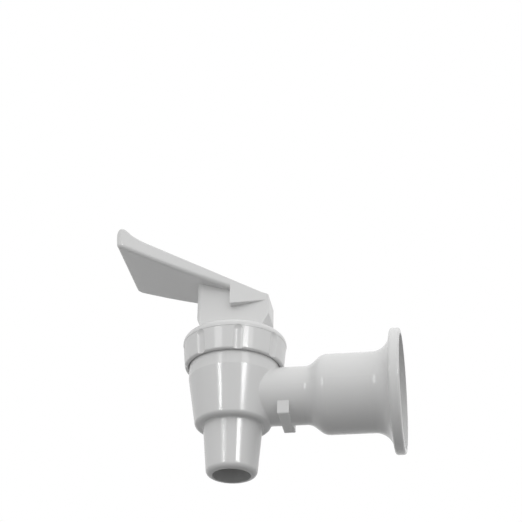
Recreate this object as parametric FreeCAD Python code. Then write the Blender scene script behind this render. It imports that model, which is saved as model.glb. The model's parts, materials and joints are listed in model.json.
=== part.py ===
"""Push-down faucet (spigot) for a bottled-water or beverage dispenser.

Row frame, millimetres. The origin is the centre of the threaded socket's mouth, on the
axis of the inlet neck. The wall flange's back stands a little ahead of it. +Y runs out of
the inlet towards the appliance, +Z is up, and X is the symmetry axis. The paddle and the
outlet are on the -Y side.
"""
import FreeCAD, Part
import math
import os

# Lengths along the neck, from the flange's back to the outlet's axis
socket_setback = 2.2          # flange's back in to the socket's mouth
socket_length = 18.0          # threaded socket
washer_thickness = 2.0
collar_end_wall = 4.55        # solid stretch of the collar past the washer's seat
collar_cone_length = 4.4      # collar down to the neck
neck_reach = 26.55            # cone's end to the outlet's axis

# Outlet: bore, throat and seat
outlet_bore_r = 6.46
throat_step = 1.06            # bore down to the throat
throat_drop = 2.35            # end of the bore to the bowl's underside
throat_cone_length = 2.6
seat_rim_width = 1.9
seat_rim_height = 1.2

# Nozzle and bowl
nozzle_wall = 2.09            # at the mouth
nozzle_draft = 1.5            # growth of its radius from the mouth up to the root
nozzle_length = 17.15         # bowl underside to the mouth
nozzle_root_blend = 0.6
nozzle_lip_round = 1.8
bowl_ledge = 2.75             # nozzle's root out to the bowl's foot
bowl_corner = 1.5             # rounding of the bowl's foot
bowl_underhang = 0.65         # bowl's underside below the neck
bowl_floor_thickness = 3.2
bowl_wall = 2.08              # at the floor
band_r = 15.5                 # upright band at the bowl's top
band_height = 6.1             # from the taper up to the shoulder under the bonnet

# Threaded rim of the bowl, which the bonnet screws onto
thread_ledge = 0.8            # band in to the thread
thread_wall = 1.7             # thread in to the chamber's mouth
thread_height = 5.4

# Neck, collar and flange
neck_bore_r = 6.6
neck_wall = 3.35
neck_blend = 4.75
joint_fillet = 0.45           # neck to bowl
socket_r = 10.5               # over the thread's roots
collar_wall = 3.2
collar_blend = 5.25
flare_r = 6.35                # concave sweep from the collar into the flange
flange_r = 21.27
flange_edge = 3.5             # thickness at the rim
flange_slope = 0.85           # rise of the front face from the sweep out to the rim
flange_edge_round = 1.0
flange_back_round = 0.8
recess_rim = 1.8              # width of the rim that meets the wall
recess_depth_out = 2.5        # hollow of the flange's back at its rim
recess_depth_in = 4.8         # and beside the socket
socket_wall = 1.9             # wall left round the socket inside that hollow

# Inlet washer, in a groove behind the last thread
washer_groove_depth = 0.3
washer_bore_step = 0.3        # washer's bore over the neck's
washer_clearance = 0.1

# Square moulding lug round the lower half of the neck
lug_half_width = 8.5
lug_length = 3.95
lug_gap = 0.75                # band's radius to the lug's front face
lug_round = 0.6

# Bonnet
bonnet_neck_gap = 1.15        # neck's top to the bonnet's mouth
bonnet_gap = 1.5              # open band between the bowl's shoulder and the bonnet's mouth
bonnet_skirt_clearance = 0.2
bonnet_skirt_wall = 1.3       # at the mouth
bonnet_flare = 0.73           # growth of its radius from the mouth up to the bead
bonnet_bead = 0.12
bonnet_bead_round = 2.3
bonnet_bead_land = 0.5        # upright stretch of the bead under its rounding
bonnet_lower_round = 0.75
bonnet_inner_round = 0.25
bonnet_thread_clearance = 0.3
bonnet_shoulder_clearance = 0.5
bonnet_plate = 2.3
guide_boss_depth = 1.9
guide_boss_margin = 0.18      # boss outside the spring that it carries
grip_count = 8
grip_first_angle = 13.2       # from +X towards +Y
grip_width = 3.3
grip_depth = 0.45             # floor of a groove under the line between its edges
grip_top_margin = 3.0         # bonnet top to the crown of a grip groove

# Stem
stem_r = 3.2
stem_guide_clearance = 0.08
stem_collar_ledge = 1.8
stem_collar_thickness = 1.2
stem_button_neck_r = 2.4
stem_button_neck_length = 1.8
stem_button_ledge = 1.4
stem_button_thickness = 1.6
stem_button_round = 0.6
stem_head_thickness = 4.8     # across the flats of the eye
stem_flat_margin = 0.5        # flats below the foot, with the stem lifted

# Spring and its washer
spring_wire_r = 0.4
spring_stem_clearance = 0.8
spring_turns = 6.0
spring_first_angle = 90.0     # where its wire starts, from +X towards +Y
spring_end_gap = 0.05
spring_washer_thickness = 0.6
spring_washer_ledge = 1.2     # washer outside the spring
spring_washer_clearance = 0.15

# Seat cup and slip ring
cup_slack = 0.9               # spring washer to the cup's wall
cup_wall = 1.3
cup_disc_overlap = 0.6        # disc over the seat's rim
cup_disc_floor = 1.5          # silicone left under the stem's button
cup_disc_land = 3.0           # upright stretch of the disc's side
cup_edge_round = 0.5
cup_flange_thickness = 1.4
cup_flange_inset = 0.4        # cup flange inside the thread's outside
button_clearance = 0.1
slip_ring_thickness = 0.5

# Pivot pin
pin_r = 1.5
pin_height = 9.3              # above the bonnet's top
pin_eye_clearance = 0.06
pin_far_wall = 1.75           # wall left at the blind end of its hole
pin_inset = 0.51              # its open end below the foot's side
pin_chamfer = 0.2

# Handle: foot
press_angle = 28.0            # travel of the paddle
cam_reach = 4.1               # lever arm of the foot's contact, and lift per radian
foot_clearance = 0.15
foot_half_width = 6.03
foot_front = 12.87            # pin to the front face
foot_back = 12.5              # pin to the back face
foot_overlap = 0.3            # foot's block up into the paddle's back
foot_front_round = 1.8
foot_back_round = 0.6
heel_drop = 5.1               # cheeks' lower edge to the heel chamfer's upper end
heel_run = 3.7                # how far the chamfer comes forward
heel_round = 0.8
slot_clearance = 0.2
slot_end_clearance = 0.35
slot_headroom = 0.7

# Handle: paddle
paddle_reach = 40.7           # pin to the tip
paddle_tip_half_width = 18.5
paddle_back_land = 1.0        # length of the foot's width behind the taper
top_z = 19.42                 # top face above the bonnet's top, at the pin
top_slope = 0.4233
paddle_tip_thickness = 6.01
paddle_root_thickness = 3.43  # where the cheeks start
under_sag = 0.6
tip_draft = 0.75
lip_length = 14.0
lip_height = 1.8
tip_corner = 2.9
lip_middle = 0.65             # place of a point on the lip, as a share of its length
lip_middle_rise = 0.62        # and that point's share of the lip's height
lip_end_slope = 0.4           # slope at the lip's end, as a share of the top's
tip_nose = 1.9                # run of the rounded nose at the tip
nose_drop = 2.6
nose_bulge = 0.65             # nose's arc outside its chord
paddle_edge_round = 0.6
paddle_low_round = 1.3        # of its lower rim
paddle_back_round = 1.2
cheek_front = 0.9             # front end of the cheeks, ahead of the pin
cheek_step = 6.4              # paddle's underside down to the cheeks' lower edge
cheek_back_depth = 2.05       # height of the back face, top to the cheeks' lower edge
cheek_edge_round = 0.35

# Shared small roundings, and the reach of cutting bodies past what they cut
edge_break = 0.3
floor_round = 0.8
recess_round = 0.6
cut_margin = 1.0
touch = 0.01                  # two places nearer than this are one
joint_tolerance = 1e-4        # how near the joint's rounding keeps to its own edges

# Derived sizes of the outlet, bowl and neck
nozzle_tip_r = outlet_bore_r + nozzle_wall
nozzle_root_r = nozzle_tip_r + nozzle_draft
bowl_foot_r = nozzle_root_r + bowl_ledge
throat_r = outlet_bore_r - throat_step
seat_rim_r = throat_r + seat_rim_width
thread_r = band_r - thread_ledge
chamber_mouth_r = thread_r - thread_wall
chamber_floor_r = bowl_foot_r - bowl_wall
neck_r = neck_bore_r + neck_wall
collar_r = socket_r + collar_wall
flange_width = math.hypot(flange_r - collar_r, flange_slope)
flange_turn = math.atan2(flange_r - collar_r, flange_slope)
flare_room = flange_width / math.tan(flange_turn / 2) - flange_edge_round
flare_fit_r = min(flare_r, flare_room)   # the sweep ends where the rim's rounding starts
washer_groove_r = socket_r + washer_groove_depth

# Derived sizes of the bonnet and what it holds
bonnet_skirt_r = band_r + bonnet_skirt_clearance
bonnet_mouth_r = bonnet_skirt_r + bonnet_skirt_wall
bonnet_top_r = bonnet_mouth_r + bonnet_flare
bonnet_bead_r = bonnet_top_r + bonnet_bead
grip_r = (grip_width ** 2 / 4 + grip_depth ** 2) / (2 * grip_depth)
guide_r = stem_r + stem_guide_clearance
spring_coil_r = stem_r + spring_stem_clearance + spring_wire_r
guide_boss_r = spring_coil_r + spring_wire_r + guide_boss_margin
spring_washer_r = spring_coil_r + spring_wire_r + spring_washer_ledge
cup_inner_r = spring_washer_r + cup_slack
cup_outer_r = cup_inner_r + cup_wall
cup_disc_r = seat_rim_r + cup_disc_overlap
cup_flange_r = thread_r - cup_flange_inset
stem_button_r = stem_button_neck_r + stem_button_ledge

# Derived heights
bowl_foot_z = -(neck_r + bowl_underhang)
nozzle_mouth_z = bowl_foot_z - nozzle_length
bore_end_z = bowl_foot_z - throat_drop
chamber_floor_z = bowl_foot_z + bowl_floor_thickness
seat_z = chamber_floor_z + seat_rim_height
bonnet_mouth_z = neck_r + bonnet_neck_gap
shoulder_z = bonnet_mouth_z + bonnet_gap
taper_top_z = shoulder_z - band_height
rim_z = shoulder_z + thread_height
cup_top_z = rim_z + cup_flange_thickness
plate_z = cup_top_z + slip_ring_thickness
boss_z = plate_z - guide_boss_depth
bonnet_top_z = plate_z + bonnet_plate
stem_button_low_z = seat_z + cup_disc_floor + button_clearance
stem_button_top_z = stem_button_low_z + stem_button_thickness
cup_floor_z = stem_button_top_z + stem_button_neck_length
collar_top_z = cup_floor_z + stem_collar_thickness
washer_top_z = collar_top_z + spring_washer_thickness
pin_z = bonnet_top_z + pin_height
foot_z = bonnet_top_z + foot_clearance

# Derived places along the neck
flange_front_y = socket_setback - flange_edge
washer_seat_y = -(socket_length + washer_thickness)
collar_front_y = washer_seat_y - collar_end_wall
neck_end_y = collar_front_y - collar_cone_length
bowl_y = neck_end_y - neck_reach

# Derived places of the handle, counted from the pin and the bonnet's top
travel = math.radians(press_angle)
lift_travel = cam_reach * travel
under_tip_z = top_z + top_slope * paddle_reach - paddle_tip_thickness
under_step_z = top_z + top_slope * cheek_front - paddle_root_thickness
cheek_front_z = under_step_z - cheek_step
cheek_back_z = top_z - top_slope * foot_back - cheek_back_depth
heel_back_z = cheek_back_z - heel_drop
taper_back = foot_back - paddle_back_land


def vec(x, y, z):
    return FreeCAD.Vector(x, y, z)


def corner_points(before, corner, after, radius):
    """Start, middle and end of the arc that rounds one corner of a plane outline."""
    u1 = (before[0] - corner[0], before[1] - corner[1])
    u2 = (after[0] - corner[0], after[1] - corner[1])
    l1 = math.hypot(*u1)
    l2 = math.hypot(*u2)
    u1 = (u1[0] / l1, u1[1] / l1)
    u2 = (u2[0] / l2, u2[1] / l2)
    half = math.acos(max(-1.0, min(1.0, u1[0] * u2[0] + u1[1] * u2[1]))) / 2
    cut = radius / math.tan(half)
    bisector = (u1[0] + u2[0], u1[1] + u2[1])
    size = math.hypot(*bisector)
    deep = radius / math.sin(half) - radius
    start = (corner[0] + u1[0] * cut, corner[1] + u1[1] * cut)
    end = (corner[0] + u2[0] * cut, corner[1] + u2[1] * cut)
    middle = (corner[0] + bisector[0] / size * deep, corner[1] + bisector[1] / size * deep)
    return start, middle, end


def outline_face(corners, place):
    """Face of a closed outline. A corner is (a, b) or (a, b, rounding); place maps it to 3-D."""
    count = len(corners)
    edges = []
    joints = []
    for i, corner in enumerate(corners):
        radius = corner[2] if len(corner) > 2 else 0.0
        if radius > 0:
            before = corners[i - 1]
            after = corners[(i + 1) % count]
            joints.append(corner_points(before[:2], corner[:2], after[:2], radius))
        else:
            joints.append((corner[:2], None, corner[:2]))
    for i, (start, middle, end) in enumerate(joints):
        if middle is not None:
            arc = Part.Arc(place(*start), place(*middle), place(*end))
            edges.append(arc.toShape())
        following = joints[(i + 1) % count][0]
        if math.hypot(following[0] - end[0], following[1] - end[1]) > touch / 1000:
            edges.append(Part.makeLine(place(*end), place(*following)))
    return Part.Face(Part.Wire(edges))


def turned_z(corners):
    """Solid of revolution about the outlet's axis from (radius, z) corners."""
    face = outline_face(corners, lambda r, z: vec(r, bowl_y, z))
    return face.revolve(vec(0, bowl_y, 0), vec(0, 0, 1), 360)


def turned_y(corners):
    """Solid of revolution about the neck's axis from (radius, y) corners."""
    face = outline_face(corners, lambda r, y: vec(r, y, 0))
    return face.revolve(vec(0, 0, 0), vec(0, 1, 0), 360)


def tube_z(outer_r, inner_r, low_z, high_z):
    """Plain ring about the outlet's axis."""
    height = high_z - low_z
    outer = Part.makeCylinder(outer_r, height, vec(0, bowl_y, low_z))
    inner = Part.makeCylinder(inner_r, height + 2 * cut_margin, vec(0, bowl_y, low_z - cut_margin))
    return outer.cut(inner)


def side_place(x):
    """Map from (y, z), counted from the pin and the bonnet's top, to the plane at x."""
    return lambda y, z: vec(x, bowl_y + y, bonnet_top_z + z)


def edges_where(shape, test):
    """Edges of a shape whose middle point and bounding box pass a test."""
    found = []
    for edge in shape.Edges:
        middle = edge.valueAt((edge.FirstParameter + edge.LastParameter) / 2)
        if test(middle, edge.BoundBox):
            found.append(edge)
    return found


# Faucet body: bowl, nozzle, neck, collar and flange in one moulding
def body_outside():
    bowl = turned_z([
        (0, rim_z),
        (thread_r, rim_z),
        (thread_r, shoulder_z),
        (band_r, shoulder_z, edge_break),
        (band_r, taper_top_z),
        (bowl_foot_r, bowl_foot_z, bowl_corner),
        (nozzle_root_r, bowl_foot_z, nozzle_root_blend),
        (nozzle_tip_r, nozzle_mouth_z, nozzle_lip_round),
        (0, nozzle_mouth_z),
    ])
    neck = turned_y([
        (0, bowl_y),
        (neck_r, bowl_y),
        (neck_r, neck_end_y, neck_blend),
        (collar_r, collar_front_y, collar_blend),
        (collar_r, flange_front_y - flange_slope, flare_fit_r),
        (flange_r, flange_front_y, flange_edge_round),
        (flange_r, socket_setback, flange_back_round),
        (0, socket_setback),
    ])
    lug = Part.makeBox(2 * lug_half_width, lug_length, neck_r,
                       vec(-lug_half_width, bowl_y + band_r + lug_gap, -neck_r))
    lug_corners = edges_where(lug, lambda p, box: box.ZMax < -neck_r + touch)
    lug = lug.makeFillet(lug_round, lug_corners)
    outside = bowl.fuse(neck).fuse(lug).removeSplitter()
    outside = outside.makeFillet(joint_fillet, edges_where(outside, on_crossing))
    outside.fix(joint_tolerance, joint_tolerance, touch)
    return outside


def on_crossing(point, box):
    """True on the line where the neck's cylinder runs into the bowl."""
    on_neck = abs(math.hypot(point.x, point.z) - neck_r) < touch
    return on_neck and bowl_y < point.y and box.YMax < bowl_y + band_r + lug_gap / 2


def body_inside():
    chamber = turned_z([
        (0, nozzle_mouth_z - cut_margin),
        (outlet_bore_r, nozzle_mouth_z - cut_margin),
        (outlet_bore_r, bore_end_z),
        (throat_r, bore_end_z + throat_cone_length),
        (throat_r, seat_z),
        (seat_rim_r, seat_z),
        (seat_rim_r, chamber_floor_z),
        (chamber_floor_r, chamber_floor_z, floor_round),
        (chamber_mouth_r, taper_top_z),
        (chamber_mouth_r, rim_z + cut_margin),
        (0, rim_z + cut_margin),
    ])
    inlet = turned_y([
        (0, bowl_y + seat_rim_r),
        (neck_bore_r, bowl_y + seat_rim_r),
        (neck_bore_r, washer_seat_y),
        (washer_groove_r, washer_seat_y),
        (washer_groove_r, -socket_length),
        (socket_r, -socket_length),
        (socket_r, socket_setback + cut_margin),
        (0, socket_setback + cut_margin),
    ])
    return chamber, inlet


def flange_recess():
    """Dished hollow in the flange's back, with the socket's mouth standing up in it."""
    wall_r = socket_r + socket_wall
    return turned_y([
        (0, socket_setback + cut_margin),
        (0, 0),
        (wall_r, 0),
        (wall_r, socket_setback - recess_depth_in, recess_round),
        (flange_r - recess_rim, socket_setback - recess_depth_out, recess_round),
        (flange_r - recess_rim, socket_setback + cut_margin),
    ])


def faucet_body():
    chamber, inlet = body_inside()
    return body_outside().cut(chamber).cut(inlet).cut(flange_recess())


# Bonnet: screw cap over the bowl, with grip grooves, a rim bead and the stem's guide
def grip_groove():
    """Ball-ended rod that cuts one hollow groove, parallel to the bonnet's side."""
    bead_z = bonnet_top_z - bonnet_bead_round - bonnet_bead_land
    lean = (bonnet_top_r - bonnet_mouth_r) / (bead_z - bonnet_mouth_z)
    low_z = bonnet_mouth_z - cut_margin
    high_z = bonnet_top_z - grip_top_margin - grip_width / 2

    def rod_centre(z):
        side_r = bonnet_mouth_r + lean * (z - bonnet_mouth_z)
        chord_r = math.sqrt(side_r ** 2 - grip_width ** 2 / 4)
        return vec(chord_r - grip_depth + grip_r, bowl_y, z)

    low = rod_centre(low_z)
    high = rod_centre(high_z)
    rod = Part.makeCylinder(grip_r, low.distanceToPoint(high), low, high.sub(low))
    return rod.fuse(Part.makeSphere(grip_r, high))


def bonnet():
    bead_z = bonnet_top_z - bonnet_bead_round - bonnet_bead_land
    skirt_end_z = shoulder_z + bonnet_shoulder_clearance
    inner_r = thread_r + bonnet_thread_clearance
    shell = turned_z([
        (guide_r, bonnet_top_z),
        (bonnet_bead_r, bonnet_top_z, bonnet_bead_round),
        (bonnet_bead_r, bead_z, bonnet_bead / 2),
        (bonnet_top_r, bead_z - bonnet_bead),
        (bonnet_mouth_r, bonnet_mouth_z, bonnet_lower_round),
        (bonnet_skirt_r, bonnet_mouth_z, bonnet_inner_round),
        (bonnet_skirt_r, skirt_end_z),
        (inner_r, skirt_end_z + bonnet_skirt_clearance),
        (inner_r, plate_z),
        (guide_boss_r, plate_z),
        (guide_boss_r, boss_z),
        (guide_r, boss_z),
    ])
    for k in range(grip_count):
        groove = grip_groove()
        groove.rotate(vec(0, bowl_y, 0), vec(0, 0, 1), grip_first_angle + k * 360.0 / grip_count)
        shell = shell.cut(groove)
    return shell


# Seat cup: silicone top hat that seals the seat below and the bonnet joint above
def seat_cup():
    pocket_neck_r = stem_button_neck_r + button_clearance
    pocket_r = stem_button_r + button_clearance
    pocket_top_z = stem_button_top_z + button_clearance
    pocket_low_z = stem_button_low_z - button_clearance
    return turned_z([
        (0, seat_z),
        (cup_disc_r, seat_z, cup_edge_round),
        (cup_disc_r, seat_z + cup_disc_land),
        (cup_outer_r, cup_floor_z),
        (cup_outer_r, rim_z),
        (cup_flange_r, rim_z),
        (cup_flange_r, cup_top_z),
        (cup_inner_r, cup_top_z),
        (cup_inner_r, cup_floor_z),
        (pocket_neck_r, cup_floor_z),
        (pocket_neck_r, pocket_top_z),
        (pocket_r, pocket_top_z),
        (pocket_r, pocket_low_z),
        (0, pocket_low_z),
    ])


def slip_ring():
    return tube_z(cup_flange_r, cup_inner_r, cup_top_z, plate_z)


# Stem with its snap-in button, spring collar and flattened eye for the pin
def stem():
    head_z = pin_z + stem_r
    collar_r_out = stem_r + stem_collar_ledge
    shaft = turned_z([
        (0, stem_button_low_z),
        (stem_button_r, stem_button_low_z, stem_button_round),
        (stem_button_r, stem_button_top_z),
        (stem_button_neck_r, stem_button_top_z),
        (stem_button_neck_r, cup_floor_z),
        (collar_r_out, cup_floor_z),
        (collar_r_out, collar_top_z, edge_break),
        (stem_r, collar_top_z),
        (stem_r, head_z),
        (0, head_z),
    ])
    wide = 4 * stem_r
    corner_y = bowl_y - wide / 2
    crown = Part.makeCylinder(stem_r, wide, vec(-wide / 2, bowl_y, pin_z), vec(1, 0, 0))
    below = Part.makeBox(wide, wide, pin_z - stem_button_low_z + cut_margin,
                         vec(-wide / 2, corner_y, stem_button_low_z - cut_margin))
    body = shaft.common(below.fuse(crown))
    flat_low_z = foot_z - lift_travel - stem_flat_margin
    for flat_x in (-stem_head_thickness / 2 - stem_r, stem_head_thickness / 2):
        body = body.cut(Part.makeBox(stem_r, wide, head_z - flat_low_z + cut_margin,
                                     vec(flat_x, corner_y, flat_low_z)))
    eye = Part.makeCylinder(pin_r + pin_eye_clearance, wide, vec(-wide / 2, bowl_y, pin_z),
                            vec(1, 0, 0))
    return body.cut(eye)


def spring_washer():
    return tube_z(spring_washer_r, stem_r + spring_washer_clearance, collar_top_z, washer_top_z)


def lift_spring():
    """Compression spring from the washer up to the bonnet's guide boss."""
    low_z = washer_top_z + spring_wire_r + spring_end_gap
    high_z = boss_z - spring_wire_r - spring_end_gap
    height = high_z - low_z
    helix = Part.makeHelix(height / spring_turns, height, spring_coil_r)
    start = vec(spring_coil_r, 0, 0)
    wire_ring = Part.Wire(Part.makeCircle(spring_wire_r, start, vec(0, 1, 0)))
    spring = Part.Wire(helix).makePipeShell([wire_ring], True, True)
    spring.rotate(vec(0, 0, 0), vec(0, 0, 1), spring_first_angle)
    spring.translate(vec(0, bowl_y, low_z))
    return spring


def inlet_washer():
    outer_r = washer_groove_r - washer_clearance
    inner_r = neck_bore_r + washer_bore_step
    return turned_y([
        (inner_r, washer_seat_y),
        (outer_r, washer_seat_y),
        (outer_r, -socket_length),
        (inner_r, -socket_length),
    ])


# Pivot pin, pressed into the handle from the -X side
def pin_blank(start_x):
    """Cylinder of the pin's radius from start_x to the blind end of its hole."""
    length = foot_half_width - pin_far_wall - start_x
    return Part.makeCylinder(pin_r, length, vec(start_x, bowl_y, pin_z), vec(1, 0, 0))


def pivot_pin():
    pin = pin_blank(pin_inset - foot_half_width)
    return pin.makeChamfer(pin_chamfer, [edge for edge in pin.Edges if edge.Closed])


# Handle: cam foot, paddle and the two cheeks that tie them together
def cam_point(angle):
    """Foot outline from the pin: an involute, so that the lift grows evenly with the angle."""
    height = pin_z - foot_z + cam_reach * angle
    y = -cam_reach * math.cos(angle) - height * math.sin(angle)
    z = cam_reach * math.sin(angle) - height * math.cos(angle)
    return y, z + pin_height


def cam_edge(x):
    """Spline through the involute, tangent to the flat foot and to the front arc."""
    steps = 8
    place = side_place(x)
    points = [place(*cam_point(travel * i / steps)) for i in range(steps + 1)]
    curve = Part.BSplineCurve()
    curve.interpolate(Points=points, InitialTangent=vec(0, -1, 0),
                      FinalTangent=vec(0, -math.cos(travel), math.sin(travel)))
    return curve.toShape()


def foot():
    """Foot block: flat on the bonnet, cam in front, chamfered heel behind."""
    x = -foot_half_width
    cam_y, cam_z = cam_point(travel)
    front_r = (foot_front + cam_y) / (1 - math.sin(travel))
    centre_y = cam_y + front_r * math.sin(travel)
    centre_z = cam_z + front_r * math.cos(travel)
    half_turn = (travel + math.pi / 2) / 2
    place = side_place(x)
    top_back_z = cheek_back_z + foot_overlap
    top_front_z = top_back_z + top_slope * (foot_front + foot_back)
    flat_z = foot_clearance
    heel_y = foot_back - heel_run
    arc_middle = place(centre_y - front_r * math.sin(half_turn),
                       centre_z - front_r * math.cos(half_turn))
    heel_points = corner_points((-cam_reach, flat_z), (heel_y, flat_z),
                                (foot_back, heel_back_z), heel_round)
    edges = [
        cam_edge(x),
        Part.Arc(place(cam_y, cam_z), arc_middle, place(-foot_front, centre_z)).toShape(),
        Part.makeLine(place(-foot_front, centre_z), place(-foot_front, top_front_z)),
        Part.makeLine(place(-foot_front, top_front_z), place(foot_back, top_back_z)),
        Part.makeLine(place(foot_back, top_back_z), place(foot_back, heel_back_z)),
        Part.makeLine(place(foot_back, heel_back_z), place(*heel_points[2])),
        Part.Arc(place(*heel_points[2]), place(*heel_points[1]), place(*heel_points[0])).toShape(),
        Part.makeLine(place(*heel_points[0]), place(-cam_reach, flat_z)),
    ]
    block = Part.Face(Part.Wire(Part.__sortEdges__(edges))).extrude(vec(2 * foot_half_width, 0, 0))
    plan = outline_face([
        (foot_half_width, -foot_front, foot_front_round),
        (foot_half_width, foot_back, foot_back_round),
        (-foot_half_width, foot_back, foot_back_round),
        (-foot_half_width, -foot_front, foot_front_round),
    ], lambda x, y: vec(x, bowl_y + y, bonnet_top_z))
    return block.common(plan.extrude(vec(0, 0, top_front_z + cut_margin)))


def top_height(y):
    return top_z - top_slope * y


def paddle_profile():
    """Side outline of paddle and cheeks, counted from the pin and the bonnet's top."""
    tip_y = -paddle_reach
    lip_y = tip_y + lip_length
    place = side_place(-paddle_tip_half_width - cut_margin)
    lip_end = (tip_y + tip_nose, top_height(tip_y + tip_nose) + lip_height)
    lip_mid_y = lip_y - lip_length * lip_middle
    lip_mid = (lip_mid_y, top_height(lip_mid_y) + lip_height * lip_middle_rise)
    lip_curve = Part.BSplineCurve()
    lip_curve.interpolate(
        Points=[place(lip_y, top_height(lip_y)), place(*lip_mid), place(*lip_end)],
        InitialTangent=vec(0, -1, top_slope),
        FinalTangent=vec(0, -1, top_slope * lip_end_slope))
    nose_end = (tip_y, lip_end[1] - nose_drop)
    nose_chord = math.hypot(tip_nose, nose_drop)
    nose_middle = ((lip_end[0] + nose_end[0]) / 2 - nose_bulge * nose_drop / nose_chord,
                   (lip_end[1] + nose_end[1]) / 2 + nose_bulge * tip_nose / nose_chord)
    back = corner_points((lip_y, top_height(lip_y)), (foot_back, top_height(foot_back)),
                         (foot_back, cheek_back_z), paddle_back_round)
    under_tip = (tip_y + tip_draft, under_tip_z)
    under_step = (-cheek_front, under_step_z)
    under_middle = ((under_tip[0] + under_step[0]) / 2,
                    (under_tip[1] + under_step[1]) / 2 - under_sag)
    edges = [
        Part.makeLine(place(*back[0]), place(lip_y, top_height(lip_y))),
        lip_curve.toShape(),
        Part.Arc(place(*lip_end), place(*nose_middle), place(*nose_end)).toShape(),
        Part.makeLine(place(*nose_end), place(*under_tip)),
        Part.Arc(place(*under_tip), place(*under_middle), place(*under_step)).toShape(),
        Part.makeLine(place(*under_step), place(-cheek_front, cheek_front_z)),
        Part.makeLine(place(-cheek_front, cheek_front_z), place(foot_back, cheek_back_z)),
        Part.makeLine(place(foot_back, cheek_back_z), place(*back[2])),
        Part.Arc(place(*back[2]), place(*back[1]), place(*back[0])).toShape(),
    ]
    return Part.Face(Part.Wire(Part.__sortEdges__(edges)))


def paddle_plan():
    """Upright prism of the plan: straight taper from the tip to the foot's width."""
    corners = [
        (paddle_tip_half_width, -paddle_reach, tip_corner),
        (foot_half_width, taper_back),
        (foot_half_width, foot_back, foot_back_round),
        (-foot_half_width, foot_back, foot_back_round),
        (-foot_half_width, taper_back),
        (-paddle_tip_half_width, -paddle_reach, tip_corner),
    ]
    face = outline_face(corners, lambda x, y: vec(x, bowl_y + y, bonnet_top_z))
    return face.extrude(vec(0, 0, top_height(-paddle_reach) + 2 * lip_height))


def paddle():
    """Wedge-shaped paddle with its cheeks: side outline and plan crossed, edges rounded."""
    block = paddle_profile().extrude(vec(2 * (paddle_tip_half_width + cut_margin), 0, 0))
    solid = block.common(paddle_plan())
    solid = solid.makeFillet(cheek_edge_round, edges_where(solid, on_cheek_rim))
    solid = solid.makeFillet(paddle_low_round, edges_where(solid, on_lower_rim))
    return solid.makeFillet(paddle_edge_round, edges_where(solid, on_upper_rim))


def on_cheek_rim(point, box):
    """True on the front and lower edges of the cheeks."""
    y = point.y - bowl_y
    z = point.z - bonnet_top_z
    at_front = abs(y + cheek_front) < touch and z < under_step_z - touch
    lower = 0 < y < taper_back and z < cheek_back_z and abs(point.x) > foot_half_width
    return at_front or lower


def on_lower_rim(point, box):
    """True on the paddle's lower rim ahead of the cheeks."""
    y = point.y - bowl_y
    share = (-y - cheek_front) / (paddle_reach - cheek_front)
    chord = under_step_z + (under_tip_z - under_step_z) * share
    return y < -cheek_front - touch and point.z - bonnet_top_z < chord + under_sag


def on_upper_rim(point, box):
    """True on the paddle's upper rim."""
    y = point.y - bowl_y
    return y < taper_back and point.z - bonnet_top_z > top_height(y) - paddle_back_round / 2


def stem_slot():
    """Slot in the foot for the stem's eye, opened forwards by the paddle's travel."""
    half = stem_head_thickness / 2 + slot_clearance
    back_y = stem_r + slot_end_clearance
    front_y = -back_y / math.cos(travel)
    top = pin_height + stem_r + slot_headroom
    face = outline_face([
        (back_y, -cut_margin),
        (back_y, top),
        (front_y, top),
        (front_y, pin_height),
        (front_y - math.tan(travel) * (pin_height + cut_margin), -cut_margin),
    ], side_place(-half))
    return face.extrude(vec(2 * half, 0, 0))


def handle():
    whole = foot().fuse(paddle()).removeSplitter()
    return whole.cut(stem_slot()).cut(pin_blank(-foot_half_width - cut_margin))


NODES = {
    "faucet_body": faucet_body,
    "bonnet": bonnet,
    "handle": handle,
    "pivot_pin": pivot_pin,
    "stem": stem,
    "spring_washer": spring_washer,
    "lift_spring": lift_spring,
    "seat_cup": seat_cup,
    "slip_ring": slip_ring,
    "inlet_washer": inlet_washer,
}

os.makedirs("parts", exist_ok=True)
for name, make in NODES.items():
    shape = make()
    if len(shape.Solids) == 1:
        shape = shape.Solids[0]
    shape.exportStep("parts/" + name + ".step")
    box = shape.BoundBox
    print(name, "valid", shape.isValid(), "solids", len(shape.Solids),
          "volume", round(shape.Volume, 1),
          "box", [round(v, 2) for v in (box.XMin, box.YMin, box.ZMin, box.XMax, box.YMax, box.ZMax)])
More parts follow.
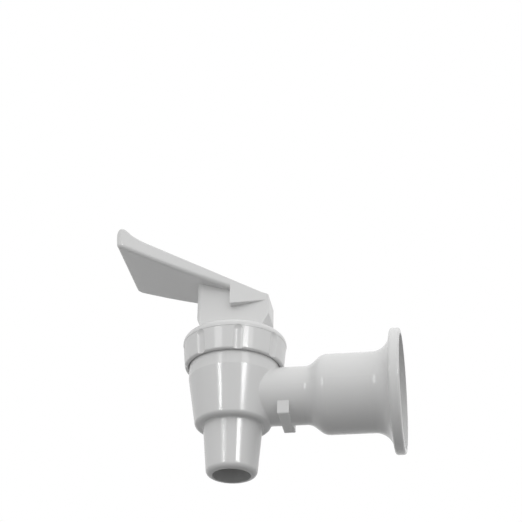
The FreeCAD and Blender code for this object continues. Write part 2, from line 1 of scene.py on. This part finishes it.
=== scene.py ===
"""Looks of the push-down faucet: finishes, the inlet's thread, the spring, the seat cup, light and camera.

Metres, in the row frame. The inlet's axis is Y, the outlet's axis is upright, and X is the symmetry axis.
"""
import json
import math
import bpy
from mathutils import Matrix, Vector


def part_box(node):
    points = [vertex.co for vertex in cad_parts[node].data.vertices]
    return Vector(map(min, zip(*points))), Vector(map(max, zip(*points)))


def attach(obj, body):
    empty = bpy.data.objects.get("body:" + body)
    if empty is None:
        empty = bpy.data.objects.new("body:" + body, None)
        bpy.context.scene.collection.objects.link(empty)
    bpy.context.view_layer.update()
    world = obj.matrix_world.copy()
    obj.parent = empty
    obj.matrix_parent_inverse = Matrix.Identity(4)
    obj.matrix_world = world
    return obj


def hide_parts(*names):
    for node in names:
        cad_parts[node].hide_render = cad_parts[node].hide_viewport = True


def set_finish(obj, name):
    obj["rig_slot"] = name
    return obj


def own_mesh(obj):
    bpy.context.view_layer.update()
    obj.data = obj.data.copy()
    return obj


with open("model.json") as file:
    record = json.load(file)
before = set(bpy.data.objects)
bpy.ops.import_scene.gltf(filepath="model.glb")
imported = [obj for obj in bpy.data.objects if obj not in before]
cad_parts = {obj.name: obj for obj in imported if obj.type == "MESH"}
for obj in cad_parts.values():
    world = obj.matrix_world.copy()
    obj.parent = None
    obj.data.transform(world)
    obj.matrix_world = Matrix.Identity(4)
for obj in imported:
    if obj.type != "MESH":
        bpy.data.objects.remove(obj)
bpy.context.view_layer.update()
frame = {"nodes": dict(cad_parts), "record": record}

MM = 0.001
mounts = {mount["name"]: mount for mount in frame["record"]["mounts"]}
outlet_mouth = Vector(mounts["outlet"]["pos_m"])
outlet_axis = Vector((outlet_mouth.x, outlet_mouth.y, 0))
socket_r = mounts["inlet_thread"]["dims"]["r_mm"] * MM
socket_length = mounts["inlet_thread"]["dims"]["length_mm"] * MM

# Thread inside the inlet socket
thread_pitch = 25.4 * MM / 14
thread_depth = 1.15 * MM
thread_crest = 0.25 * MM
thread_half_angle = math.radians(30)
thread_sunk = 0.03 * MM       # root inside the wall
thread_margin = 0.8 * MM      # free stretch at both ends of the socket
thread_run_out = 0.6          # turns over which it fades at each end
thread_tip = 0.1              # share of its flanks that the soft edge of the crest takes
thread_end_width = 0.05       # share of its width that is left at the ends
thread_steps = 96             # rings a turn

# Lift spring with closed, ground ends
wire_r = 0.4 * MM
spring_end_turns = 1.0
spring_free_turns = 5.0
spring_closed_share = 0.7     # of an end turn, which lies flat before the rise begins
spring_rise_turns = 0.5       # over which the rise grows to its full rate
spring_seat_gap = 0.02 * MM
spring_steps = 72             # rings a turn
wire_sides = 14

# Seat cup
cup_slack = 0.9 * MM          # spring washer to the cup's wall
cup_wall = 1.3 * MM
cup_disc_r = 7.9 * MM
cup_disc_land = 3.0 * MM      # upright stretch of the disc's side
cup_flange = 1.4 * MM         # thickness of its flange
cup_round = 0.5 * MM
cup_small_round = 0.25 * MM
cup_bead = 0.3 * MM
stem_collar = 1.2 * MM        # thickness of the stem's collar, which stands on the cup
pocket_r = 3.9 * MM           # pocket of the stem's button
pocket_neck_r = 2.5 * MM
pocket_neck_length = 1.7 * MM
pocket_round = 0.1 * MM
button_clearance = 0.1 * MM
axis_r = 0.02 * MM            # nearest approach of the outline to the axis
cup_segments = 128            # round the axis
corner_steps = 6              # along each rounded corner

# Light grey gloss plastic, shared by the shell and the lever
gloss_plastic = {"IOR": 1.49, "Specular_IOR_Level": 0.12, "Coat_Weight": 0.55, "Coat_IOR": 1.49}
gloss_tones = (0.640, 0.642, 0.640), (0.668, 0.668, 0.664)

# Stage
floor_drop = 12 * MM          # nozzle's mouth down to the floor
floor_half = 3.0
floor_fade = (0.5, 1.6)       # distances between which the floor passes into the white background

# Light: the dome's levels straight down, level and straight up, and its gain along X, Y and Z
dome_levels = (0.34, 0.96, 0.97)
dome_lean = (0.62, 0.14, 0.0)
floor_bounce = 0.36           # floor's reflectance for the light that it throws up
floor_paint = 0.90            # and as the camera and the gloss see it

# Oval lamps, which only the gloss shows, each a bright core and a wide dim screen:
# azimuth, elevation, width, height, radiance
lamp_distance = 1.2
gloss_lamps = {
    "core_right": (124, 11.5, 0.33, 0.24, 18.0),
    "screen_right": (127, 16, 0.50, 0.56, 4.0),
    "core_left": (64, 8, 0.15, 0.17, 16.0),
    "screen_left": (63, 16, 0.34, 0.54, 5.0),
}

# Camera, as it stood for the photograph
camera_place = Vector((477.02, 30.81, -215.57)) * MM
camera_azimuth = 99.26
camera_elevation = -29.07
camera_roll = 1.08
camera_lens = 107.13
camera_clip = 10 * MM
sensor_width = 36.0


def direction(azimuth, elevation):
    """Unit vector from the object to a viewer: azimuth 0 stands at -Y, azimuth 90 at +X."""
    a = math.radians(azimuth)
    e = math.radians(elevation)
    return Vector((math.sin(a) * math.cos(e), -math.cos(a) * math.cos(e), math.sin(e)))


def smooth_step(x):
    x = max(0.0, min(1.0, x))
    return x * x * (3 - 2 * x)


# Meshes
def mesh_piece(name, points, faces, sharp_angle=35):
    mesh = bpy.data.meshes.new(name)
    mesh.from_pydata(points, [], faces)
    mesh.update()
    mesh.shade_smooth()
    mesh.set_sharp_from_angle(angle=math.radians(sharp_angle))
    piece = bpy.data.objects.new(name, mesh)
    bpy.context.scene.collection.objects.link(piece)
    return piece


def loft(rings, joined=False):
    """Points and faces of a skin over a row of closed rings; joined closes the row on itself."""
    size = len(rings[0])
    points = [point for ring in rings for point in ring]
    faces = []
    last = len(rings) if joined else len(rings) - 1
    for i in range(last):
        a = i * size
        b = (i + 1) % len(rings) * size
        for j in range(size):
            k = (j + 1) % size
            faces.append((a + j, a + k, b + k, b + j))
    if not joined:
        faces.append(tuple(range(size - 1, -1, -1)))
        faces.append(tuple(range(len(points) - size, len(points))))
    return points, faces


def inlet_thread():
    """Right-handed ridge on the socket's wall, as long as the socket less its margins."""
    length = socket_length - 2 * thread_margin
    turns = length / thread_pitch
    count = int(turns * thread_steps)
    flank = thread_depth * math.tan(thread_half_angle)
    rings = []
    for i in range(count + 1):
        turn = turns * i / count
        share = smooth_step(min(turn, turns - turn) / thread_run_out)
        angle = 2 * math.pi * turn
        y = -socket_length + thread_margin + thread_pitch * turn
        ring = []
        for depth, half_width in (
            (-thread_sunk, thread_crest / 2 + flank),
            (thread_depth * (1 - thread_tip), thread_crest / 2 + flank * thread_tip),
            (thread_depth, thread_crest / 4),
            (thread_depth, -thread_crest / 4),
            (thread_depth * (1 - thread_tip), -thread_crest / 2 - flank * thread_tip),
            (-thread_sunk, -thread_crest / 2 - flank),
        ):
            r = socket_r - (depth * share if depth > 0 else depth)
            width = half_width * max(share, thread_end_width)
            ring.append(Vector((r * math.sin(angle), y + width, r * math.cos(angle))))
        rings.append(ring)
    piece = mesh_piece("inlet_thread_ridge", *loft(rings))
    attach(piece, "faucet")
    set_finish(piece, "gloss_shell")
    return piece


def spring():
    """Compression spring from the washer to the bonnet's boss, its ends closed and ground flat."""
    low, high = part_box("lift_spring")
    washer_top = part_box("spring_washer")[1].z
    boss_z = low.z + high.z - washer_top
    coil_r = (high.x - low.x) / 2 - wire_r
    floor_z = washer_top + spring_seat_gap
    top_z = boss_z - spring_seat_gap
    turns = 2 * spring_end_turns + spring_free_turns
    closed = spring_closed_share * spring_end_turns
    count = int(turns * spring_steps)
    # Rise at each step: slow in the closed end turns, even in between
    rises = []
    for i in range(count):
        turn = turns * (i + 0.5) / count
        rises.append(smooth_step((min(turn, turns - turn) - closed) / spring_rise_turns))
    dead_rise = 2 * wire_r / spring_steps
    height = top_z - floor_z - wire_r
    free_rise = (height - count * dead_rise) / sum(rises)
    z = floor_z + wire_r / 2
    rings = []
    for i in range(count + 1):
        angle = 2 * math.pi * turns * i / count
        outwards = Vector((math.cos(angle), math.sin(angle), 0))
        centre = outlet_axis + outwards * coil_r + Vector((0, 0, z))
        ring = []
        for j in range(wire_sides):
            side = 2 * math.pi * j / wire_sides
            point = centre + (outwards * math.cos(side) + Vector((0, 0, math.sin(side)))) * wire_r
            point.z = max(floor_z, min(top_z, point.z))
            ring.append(point)
        rings.append(ring)
        if i < count:
            z += dead_rise + free_rise * rises[i]
    piece = mesh_piece("lift_spring_coil", *loft(rings))
    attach(piece, "faucet")
    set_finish(piece, "stainless")
    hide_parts("lift_spring")
    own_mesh(piece)
    return piece


def rounded(corners):
    """Closed outline from (r, z, rounding) corners, each rounded corner as a short arc."""
    points = []
    for i, (r, z, radius) in enumerate(corners):
        corner = Vector((r, z))
        if radius == 0:
            points.append(corner)
            continue
        before = (Vector(corners[i - 1][:2]) - corner).normalized()
        after = (Vector(corners[(i + 1) % len(corners)][:2]) - corner).normalized()
        half = before.angle(after) / 2
        centre = corner + (before + after).normalized() * radius / math.sin(half)
        start = (corner + before * radius / math.tan(half) - centre).normalized()
        end = (corner + after * radius / math.tan(half) - centre).normalized()
        for k in range(corner_steps + 1):
            points.append(centre + start.slerp(end, k / corner_steps) * radius)
    return points


def turned(name, outline):
    """Ring or cup: a closed (r, z) outline turned about the outlet's axis."""
    rings = []
    for i in range(cup_segments):
        angle = 2 * math.pi * i / cup_segments
        outwards = Vector((math.cos(angle), math.sin(angle), 0))
        rings.append([outlet_axis + outwards * p.x + Vector((0, 0, p.y)) for p in outline])
    return mesh_piece(name, *loft(rings, joined=True))


def seat_cup():
    """Silicone cup: thick disc, wall with a bead at its root, and a flange under the slip ring."""
    low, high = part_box("seat_cup")
    washer_low, washer_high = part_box("spring_washer")
    flange_r = (high.x - low.x) / 2
    inner_r = (washer_high.x - washer_low.x) / 2 + cup_slack
    outer_r = inner_r + cup_wall
    flange_z = high.z - cup_flange
    floor_z = washer_low.z - stem_collar
    pocket_top_z = floor_z - pocket_neck_length
    pocket_low_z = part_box("stem")[0].z - button_clearance
    outline = rounded([
        (axis_r, low.z, 0),
        (cup_disc_r, low.z, cup_round),
        (cup_disc_r, low.z + cup_disc_land, cup_round),
        (outer_r, floor_z, cup_round),
        (outer_r, flange_z, cup_bead),
        (flange_r, flange_z, cup_small_round),
        (flange_r, high.z, cup_small_round),
        (inner_r, high.z, cup_bead),
        (inner_r, floor_z, cup_bead),
        (pocket_neck_r, floor_z, pocket_round),
        (pocket_neck_r, pocket_top_z, pocket_round),
        (pocket_r, pocket_top_z, pocket_round),
        (pocket_r, pocket_low_z, cup_small_round),
        (axis_r, pocket_low_z, 0),
    ])
    piece = turned("seat_cup_moulding", outline)
    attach(piece, "faucet")
    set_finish(piece, "silicone")
    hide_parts("seat_cup")
    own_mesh(piece)
    return piece


# Nodes
def add_node(tree, kind, *values, operation=None, **named):
    """New node, its inputs given in order or by name, with _ for a space. An output is linked."""
    node = tree.nodes.new(kind)
    if operation:
        node.operation = operation
    pairs = list(zip(node.inputs, values))
    pairs += [(node.inputs[name.replace("_", " ")], value) for name, value in named.items()]
    for socket, value in pairs:
        if isinstance(value, bpy.types.NodeSocket):
            tree.links.new(value, socket)
        else:
            socket.default_value = value
    return node


# Finishes
class Finish:
    """A procedural material: a principled shader with object-space textures around it."""

    def __init__(self, name, **uniform):
        self.material = bpy.data.materials.new(name)
        self.material.use_nodes = True
        self.tree = self.material.node_tree
        self.shader = self.tree.nodes["Principled BSDF"]
        for socket, value in uniform.items():
            self.shader.inputs[socket.replace("_", " ")].default_value = value
        self.place = self.add("ShaderNodeTexCoord").outputs["Object"]

    def add(self, kind, *values, **named):
        return add_node(self.tree, kind, *values, **named)

    def feed(self, value, socket):
        self.tree.links.new(value, self.shader.inputs[socket])

    def noise(self, size, detail=2.0, stretch=(1, 1, 1)):
        """Soft noise from 0 to 1 whose features are about this size in metres."""
        where = self.add("ShaderNodeMapping", Vector=self.place, Scale=stretch)
        noise = self.add("ShaderNodeTexNoise", Vector=where.outputs[0], Scale=1 / size, Detail=detail,
                         Roughness=0.5)
        return noise.outputs["Fac"]

    def spread(self, value, low, high, start=0.3, end=0.7):
        """The value, mapped from start to end onto low to high."""
        return self.add("ShaderNodeMapRange", value, start, end, low, high).outputs[0]

    def colour(self, value, dark, light):
        """Base colour that runs from dark to light with the value."""
        mix = self.add("ShaderNodeMix", value)
        mix.data_type = "RGBA"
        ends = [socket for socket in mix.inputs if socket.type == "RGBA"]
        for socket, tone in zip(ends, (dark, light)):
            socket.default_value = (*tone, 1)
        self.feed(next(socket for socket in mix.outputs if socket.type == "RGBA"), "Base Color")

    def roughness(self, value, low, high):
        self.feed(self.spread(value, low, high), "Roughness")

    def bump(self, *layers):
        """Bumps of (height from 0 to 1, depth in metres, strength), one over another."""
        under = {}
        for height, depth, strength in layers:
            bump = self.add("ShaderNodeBump", Height=height, Distance=depth, Strength=strength, **under)
            under = {"Normal": bump.outputs[0]}
        self.feed(under["Normal"], "Normal")
        return under["Normal"]

    def ridge(self, coordinate, place, half_width):
        """1 along the plane where the coordinate has that value, falling to 0 at half_width."""
        parts = self.add("ShaderNodeSeparateXYZ", self.place)
        off = self.add("ShaderNodeMath", parts.outputs[coordinate], place, operation="SUBTRACT")
        size = self.add("ShaderNodeMath", off.outputs[0], operation="ABSOLUTE")
        return self.spread(size.outputs[0], 1.0, 0.0, 0.0, half_width)


def gloss_shell():
    """Gloss-moulded light grey shell: clear gloss over a soft body, parting line on X = 0."""
    finish = Finish("gloss_shell_finish", Coat_Roughness=0.10, **gloss_plastic)
    finish.colour(finish.noise(25 * MM, 3), *gloss_tones)
    finish.roughness(finish.noise(3 * MM, 3), 0.38, 0.52)
    normal = finish.bump(
        (finish.noise(2.6 * MM), 0.015 * MM, 0.3),
        (finish.ridge("X", 0.0, 0.12 * MM), 0.05 * MM, 0.4),
    )
    finish.feed(normal, "Coat Normal")
    return finish.material


def handle_plastic():
    """Moulded lever: a little duller than the shell, with faint flow waves."""
    finish = Finish("handle_plastic_finish", Coat_Roughness=0.13, **gloss_plastic)
    finish.colour(finish.noise(18 * MM, 3), *gloss_tones)
    finish.roughness(finish.noise(1.5 * MM, 3), 0.42, 0.56)
    normal = finish.bump(
        (finish.noise(0.35 * MM, 4), 0.004 * MM, 0.3),
        (finish.noise(6 * MM), 0.05 * MM, 0.2),
    )
    finish.feed(normal, "Coat Normal")
    return finish.material


def stem_plastic():
    """Natural acetal: waxy white, turned-smooth."""
    finish = Finish("stem_plastic_finish", IOR=1.48, Subsurface_Weight=0.1, Subsurface_Scale=1.0 * MM)
    finish.colour(finish.noise(6 * MM, 3), (0.68, 0.68, 0.65), (0.74, 0.74, 0.71))
    finish.roughness(finish.noise(1 * MM, 3), 0.30, 0.42)
    finish.bump((finish.noise(0.3 * MM, 3, (1, 1, 0.1)), 0.006 * MM, 0.4))
    return finish.material


def stainless():
    """Drawn stainless wire and pin stock: fine lines round the axis."""
    finish = Finish("stainless_finish", Metallic=1.0)
    finish.colour(finish.noise(2 * MM, 4), (0.50, 0.50, 0.49), (0.62, 0.61, 0.60))
    finish.roughness(finish.noise(0.4 * MM, 4, (0.1, 1, 1)), 0.22, 0.38)
    finish.bump((finish.noise(0.12 * MM, 3, (0.05, 1, 1)), 0.004 * MM, 0.4))
    return finish.material


def silicone():
    """Milky silicone rubber."""
    finish = Finish("silicone_finish", IOR=1.41, Subsurface_Weight=0.35, Subsurface_Scale=1.5 * MM)
    finish.colour(finish.noise(5 * MM, 3), (0.66, 0.65, 0.61), (0.73, 0.72, 0.69))
    finish.roughness(finish.noise(1 * MM, 3), 0.42, 0.55)
    finish.bump((finish.noise(0.5 * MM, 4), 0.01 * MM, 0.4))
    return finish.material


def washer_rubber():
    """Black pressed rubber with talc left in its grain."""
    finish = Finish("washer_rubber_finish", IOR=1.5)
    finish.colour(finish.noise(0.8 * MM, 5), (0.016, 0.016, 0.017), (0.045, 0.045, 0.046))
    finish.roughness(finish.noise(0.6 * MM, 4), 0.55, 0.75)
    finish.bump((finish.noise(0.25 * MM, 4), 0.02 * MM, 0.6))
    return finish.material


def dress(pieces):
    """Gives each CAD node and each new piece the finish of its slot."""
    makers = (gloss_shell, handle_plastic, stem_plastic, stainless, silicone, washer_rubber)
    finishes = {maker.__name__: maker() for maker in makers}
    for subpart in frame["record"]["subparts"]:
        node = frame["nodes"][subpart["node"]]
        node.data.materials.clear()
        node.data.materials.append(finishes[subpart["material_slot"]])
    for piece in pieces:
        piece.data.materials.append(finishes[piece["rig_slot"]])


# Light: a pale dome that darkens below the horizon, oval lamps for the gloss, a pale floor
def shown_as_background(tree):
    """1 where a ray comes straight from the camera, or from a mirror or glass."""
    path = add_node(tree, "ShaderNodeLightPath").outputs
    value = path["Is Camera Ray"]
    for kind in ("Is Glossy Ray", "Is Transmission Ray"):
        value = add_node(tree, "ShaderNodeMath", value, path[kind], operation="MAXIMUM").outputs[0]
    return value


def dome():
    world = bpy.data.worlds.new("studio_dome")
    bpy.context.scene.world = world
    world.use_nodes = True
    tree = world.node_tree
    where = add_node(tree, "ShaderNodeTexCoord").outputs["Generated"]
    parts = add_node(tree, "ShaderNodeSeparateXYZ", where).outputs
    height = add_node(tree, "ShaderNodeMapRange", parts["Z"], -1.0)
    ramp = add_node(tree, "ShaderNodeValToRGB", height.outputs[0])
    stops = ramp.color_ramp.elements
    stops.new(0.5)
    for stop, level in zip(stops, dome_levels):
        stop.color = (level, level, level, 1)
    lean = add_node(tree, "ShaderNodeVectorMath", where, dome_lean, operation="DOT_PRODUCT")
    gain = add_node(tree, "ShaderNodeMath", lean.outputs["Value"], 1.0, operation="ADD")
    light = add_node(tree, "ShaderNodeMath", ramp.outputs[0], gain.outputs[0], operation="MULTIPLY")
    level = add_node(tree, "ShaderNodeMix", shown_as_background(tree), A=light.outputs[0], B=1.0)
    background = tree.nodes["Background"]
    background.inputs["Color"].default_value = (1, 1, 1, 1)
    tree.links.new(level.outputs[0], background.inputs["Strength"])


def gloss_lamp(name, azimuth, elevation, width, height, radiance):
    data = bpy.data.lights.new(name, "AREA")
    data.shape = "ELLIPSE"
    data.size = width
    data.size_y = height
    area = math.pi / 4 * width * height
    data.energy = radiance * math.pi * area
    lamp = bpy.data.objects.new(name, data)
    lamp.location = outlet_axis + direction(azimuth, elevation) * lamp_distance
    lamp.rotation_euler = direction(azimuth, elevation).to_track_quat("Z", "Y").to_euler()
    lamp.visible_camera = False
    lamp.visible_diffuse = False
    bpy.context.scene.collection.objects.link(lamp)


def floor():
    z = outlet_mouth.z - floor_drop
    corners = [(-floor_half, -floor_half, z), (floor_half, -floor_half, z),
               (floor_half, floor_half, z), (-floor_half, floor_half, z)]
    plane = mesh_piece("studio_floor", corners, [(0, 1, 2, 3)])
    material = bpy.data.materials.new("studio_floor_paint")
    material.use_nodes = True
    tree = material.node_tree
    tree.nodes.remove(tree.nodes["Principled BSDF"])
    level = add_node(tree, "ShaderNodeMix", shown_as_background(tree), A=floor_bounce, B=floor_paint)
    paint = add_node(tree, "ShaderNodeBsdfDiffuse", level.outputs[0])
    where = add_node(tree, "ShaderNodeTexCoord").outputs["Object"]
    far = add_node(tree, "ShaderNodeVectorMath", where, operation="LENGTH")
    fade = add_node(tree, "ShaderNodeMapRange", far.outputs["Value"], *floor_fade)
    fade.interpolation_type = "SMOOTHSTEP"
    from_below = add_node(tree, "ShaderNodeNewGeometry").outputs["Backfacing"]
    hidden = add_node(tree, "ShaderNodeMath", fade.outputs[0], from_below, operation="MAXIMUM")
    clear = add_node(tree, "ShaderNodeBsdfTransparent")
    mix = add_node(tree, "ShaderNodeMixShader", hidden.outputs[0], paint.outputs[0], clear.outputs[0])
    tree.links.new(mix.outputs[0], tree.nodes["Material Output"].inputs["Surface"])
    plane.data.materials.append(material)


def photo_camera():
    back = direction(camera_azimuth, camera_elevation)
    level = Vector((0, 0, 1)).cross(back).normalized()
    upright = back.cross(level)
    roll = math.radians(camera_roll)
    right = level * math.cos(roll) + upright * math.sin(roll)
    up = upright * math.cos(roll) - level * math.sin(roll)
    data = bpy.data.cameras.new("photo_camera")
    data.lens = camera_lens
    data.sensor_width = sensor_width
    data.clip_start = camera_clip
    camera = bpy.data.objects.new("photo_camera", data)
    for column, axis in enumerate((right, up, back, camera_place)):
        for row in range(3):
            camera.matrix_world[row][column] = axis[row]
    bpy.context.scene.collection.objects.link(camera)
    bpy.context.scene.camera = camera


dress([inlet_thread(), spring(), seat_cup()])
dome()
for lamp_name, lamp_values in gloss_lamps.items():
    gloss_lamp(lamp_name, *lamp_values)
floor()
photo_camera()
bpy.context.scene.view_settings.view_transform = "Standard"
